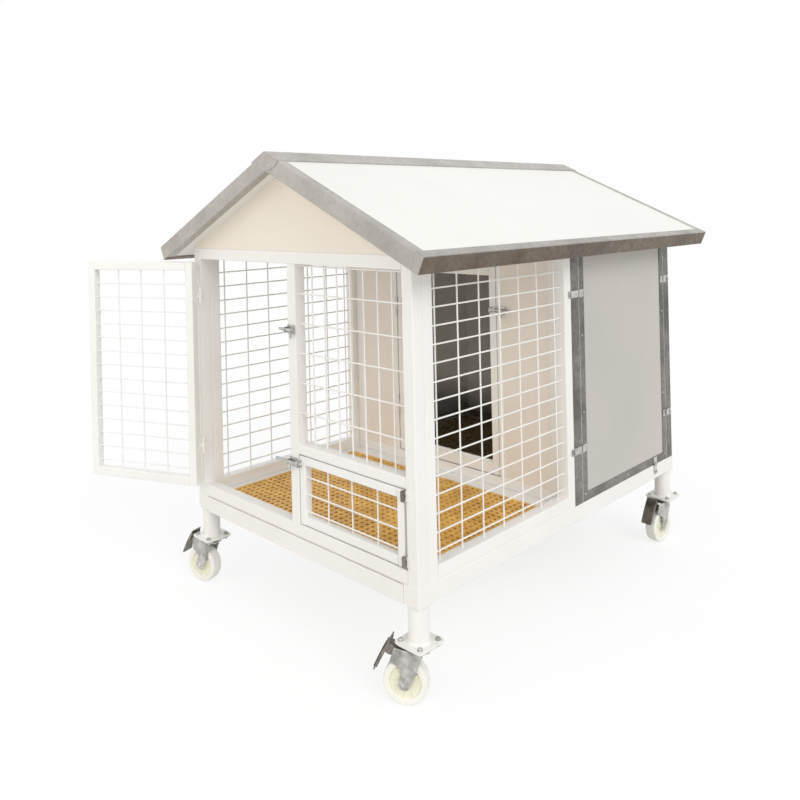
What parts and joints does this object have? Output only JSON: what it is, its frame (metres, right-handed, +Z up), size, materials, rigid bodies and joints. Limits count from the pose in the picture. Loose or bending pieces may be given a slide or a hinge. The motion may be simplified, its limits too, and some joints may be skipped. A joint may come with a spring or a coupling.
{
  "type": "dog kennel",
  "caption": "Raised dog kennel on casters: mesh yard with swing door and feed door, insulated sleeping room, inner door, pitched roof.",
  "frame": {"origin": "centre of the footprint, on the floor under the casters", "axes": "+Z up, +Y towards the rear wall of the sleeping room, so the doors face -Y; +X to the right of someone facing the front"},
  "size_m": [1.5974, 1.8341, 1.5337],
  "materials": {
    "frame_white": "white powder coat, semi gloss",
    "panel_grey": "pale grey prepainted sheet over a foam core",
    "zinc": "galvanised, dull",
    "dark_zinc": "dark zinc plate",
    "bright_steel": "bright zinc plate",
    "floor_slats": "amber moulded plastic",
    "wheel_nylon": "cream nylon",
    "clear_pane": "clear sheet"
  },
  "bodies": {
    "kennel": {"base_frame": "frame_white", "legs": "frame_white", "caster_plates": "zinc", "caster_bolts": "dark_zinc", "front_frame": "frame_white", "front_mesh": "frame_white", "side_frames": "frame_white", "side_meshes": "frame_white", "partition_frame": "frame_white", "partition_panels": "panel_grey", "room_posts": "zinc", "side_panels": "panel_grey", "rear_panel": "panel_grey", "panel_channels": "zinc", "roof_panel_left": "panel_grey", "roof_panel_right": "panel_grey", "eave_channels": "zinc", "verge_channels": "zinc", "ridge_cap": "zinc", "gables": "frame_white", "ridge_beam": "frame_white", "floor_grid_yard": "floor_slats", "floor_grid_room": "floor_slats", "hinge_pins": "frame_white", "latch_housings": "bright_steel", "hasp_plates": "zinc", "rivets": "bright_steel"},
    "tray": {"waste_tray": "frame_white"},
    "front_door": {"front_door": "frame_white", "front_keeper": "bright_steel"},
    "front_bolt": {"front_latch_bolt": "bright_steel"},
    "feed_door": {"feed_door": "frame_white", "feed_keeper": "bright_steel"},
    "feed_bolt": {"feed_latch_bolt": "bright_steel"},
    "inner_door": {"inner_door": "frame_white", "inner_door_pane": "clear_pane", "inner_keeper": "bright_steel"},
    "inner_bolt": {"inner_latch_bolt": "bright_steel"},
    "fork_fr": {"caster_fork_fr": "zinc"},
    "wheel_fr": {"caster_wheel_fr": "wheel_nylon"},
    "pedal_fr": {"brake_pedal_fr": "dark_zinc"},
    "fork_fl": {"caster_fork_fl": "zinc"},
    "wheel_fl": {"caster_wheel_fl": "wheel_nylon"},
    "pedal_fl": {"brake_pedal_fl": "dark_zinc"},
    "fork_rr": {"caster_fork_rr": "zinc"},
    "wheel_rr": {"caster_wheel_rr": "wheel_nylon"},
    "pedal_rr": {"brake_pedal_rr": "dark_zinc"},
    "fork_rl": {"caster_fork_rl": "zinc"},
    "wheel_rl": {"caster_wheel_rl": "wheel_nylon"},
    "pedal_rl": {"brake_pedal_rl": "dark_zinc"},
    "hasp_r_front_top": {"hasp_r_front_top": "zinc"},
    "hasp_r_front_low": {"hasp_r_front_low": "zinc"},
    "hasp_r_rear_top": {"hasp_r_rear_top": "zinc"},
    "hasp_r_rear_low": {"hasp_r_rear_low": "zinc"},
    "hasp_r_foot": {"hasp_r_foot": "zinc"},
    "hasp_l_front_top": {"hasp_l_front_top": "zinc"},
    "hasp_l_front_low": {"hasp_l_front_low": "zinc"},
    "hasp_l_rear_top": {"hasp_l_rear_top": "zinc"},
    "hasp_l_rear_low": {"hasp_l_rear_low": "zinc"},
    "hasp_l_foot": {"hasp_l_foot": "zinc"}
  },
  "joints": [
    {"name": "front_door_swing", "type": "hinge", "parent": "kennel", "child": "front_door", "pos_m": [-0.502, -0.752, 0.78], "axis": [0, 0, 1], "range_deg": [-20, 156]},
    {"name": "front_bolt_slide", "type": "slide", "parent": "kennel", "child": "front_bolt", "axis": [-1, 0, 0], "range_m": [0, 0.02]},
    {"name": "feed_door_swing", "type": "hinge", "parent": "kennel", "child": "feed_door", "pos_m": [0.505, -0.752, 0.481], "axis": [0, 0, 1], "range_deg": [0, 110]},
    {"name": "feed_bolt_slide", "type": "slide", "parent": "kennel", "child": "feed_bolt", "axis": [1, 0, 0], "range_m": [0, 0.02]},
    {"name": "inner_door_swing", "type": "hinge", "parent": "kennel", "child": "inner_door", "pos_m": [-0.263, 0.003, 0.749], "axis": [0, 0, -1], "range_deg": [0, 110]},
    {"name": "inner_bolt_slide", "type": "slide", "parent": "kennel", "child": "inner_bolt", "axis": [-1, 0, 0], "range_m": [0, 0.02]},
    {"name": "tray_slide", "type": "slide", "parent": "kennel", "child": "tray", "axis": [0, -1, 0], "range_m": [0, 0.55]},
    {"name": "swivel_fr", "type": "hinge", "parent": "kennel", "child": "fork_fr", "pos_m": [0.52, -0.715, 0.147], "axis": [0, 0, 1], "continuous": true},
    {"name": "roll_fr", "type": "hinge", "parent": "fork_fr", "child": "wheel_fr", "pos_m": [0.48709, -0.734, 0.0625], "axis": [0.5, -0.866, 0], "continuous": true},
    {"name": "brake_fr", "type": "hinge", "parent": "fork_fr", "child": "pedal_fr", "pos_m": [0.4767, -0.74, 0.14], "axis": [0.5, -0.866, 0], "range_deg": [0, 10]},
    {"name": "swivel_fl", "type": "hinge", "parent": "kennel", "child": "fork_fl", "pos_m": [-0.52, -0.715, 0.147], "axis": [0, 0, 1], "continuous": true},
    {"name": "roll_fl", "type": "hinge", "parent": "fork_fl", "child": "wheel_fl", "pos_m": [-0.55671, -0.72484, 0.0625], "axis": [0.2588, -0.9659, 0], "continuous": true},
    {"name": "brake_fl", "type": "hinge", "parent": "fork_fl", "child": "pedal_fl", "pos_m": [-0.5683, -0.72794, 0.14], "axis": [0.2588, -0.9659, 0], "range_deg": [0, 10]},
    {"name": "swivel_rr", "type": "hinge", "parent": "kennel", "child": "fork_rr", "pos_m": [0.52, 0.715, 0.147], "axis": [0, 0, 1], "continuous": true},
    {"name": "roll_rr", "type": "hinge", "parent": "fork_rr", "child": "wheel_rr", "pos_m": [0.51735, 0.67709, 0.0625], "axis": [0.9976, -0.0698, 0], "continuous": true},
    {"name": "brake_rr", "type": "hinge", "parent": "fork_rr", "child": "pedal_rr", "pos_m": [0.51651, 0.66512, 0.14], "axis": [0.9976, -0.0698, 0], "range_deg": [0, 10]},
    {"name": "swivel_rl", "type": "hinge", "parent": "kennel", "child": "fork_rl", "pos_m": [-0.52, 0.715, 0.147], "axis": [0, 0, 1], "continuous": true},
    {"name": "roll_rl", "type": "hinge", "parent": "fork_rl", "child": "wheel_rl", "pos_m": [-0.5418, 0.68387, 0.0625], "axis": [0.8192, -0.5736, 0], "continuous": true},
    {"name": "brake_rl", "type": "hinge", "parent": "fork_rl", "child": "pedal_rl", "pos_m": [-0.54868, 0.67404, 0.14], "axis": [0.8192, -0.5736, 0], "range_deg": [0, 10]},
    {"name": "hasp_r_front_top_swing", "type": "hinge", "parent": "kennel", "child": "hasp_r_front_top", "pos_m": [0.554, 0.077, 1.043], "axis": [0, 0, 1], "range_deg": [0, 150]},
    {"name": "hasp_r_front_low_swing", "type": "hinge", "parent": "kennel", "child": "hasp_r_front_low", "pos_m": [0.554, 0.077, 0.512], "axis": [0, 0, 1], "range_deg": [0, 150]},
    {"name": "hasp_r_rear_top_swing", "type": "hinge", "parent": "kennel", "child": "hasp_r_rear_top", "pos_m": [0.554, 0.698, 1.043], "axis": [0, 0, -1], "range_deg": [0, 150]},
    {"name": "hasp_r_rear_low_swing", "type": "hinge", "parent": "kennel", "child": "hasp_r_rear_low", "pos_m": [0.554, 0.698, 0.512], "axis": [0, 0, -1], "range_deg": [0, 150]},
    {"name": "hasp_r_foot_swing", "type": "hinge", "parent": "kennel", "child": "hasp_r_foot", "pos_m": [0.554, 0.598, 0.332], "axis": [0, -1, 0], "range_deg": [0, 150]},
    {"name": "hasp_l_front_top_swing", "type": "hinge", "parent": "kennel", "child": "hasp_l_front_top", "pos_m": [-0.554, 0.077, 1.043], "axis": [0, 0, -1], "range_deg": [0, 150]},
    {"name": "hasp_l_front_low_swing", "type": "hinge", "parent": "kennel", "child": "hasp_l_front_low", "pos_m": [-0.554, 0.077, 0.512], "axis": [0, 0, -1], "range_deg": [0, 150]},
    {"name": "hasp_l_rear_top_swing", "type": "hinge", "parent": "kennel", "child": "hasp_l_rear_top", "pos_m": [-0.554, 0.698, 1.043], "axis": [0, 0, 1], "range_deg": [0, 150]},
    {"name": "hasp_l_rear_low_swing", "type": "hinge", "parent": "kennel", "child": "hasp_l_rear_low", "pos_m": [-0.554, 0.698, 0.512], "axis": [0, 0, 1], "range_deg": [0, 150]},
    {"name": "hasp_l_foot_swing", "type": "hinge", "parent": "kennel", "child": "hasp_l_foot", "pos_m": [-0.554, 0.598, 0.332], "axis": [0, 1, 0], "range_deg": [0, 150]}
  ]
}
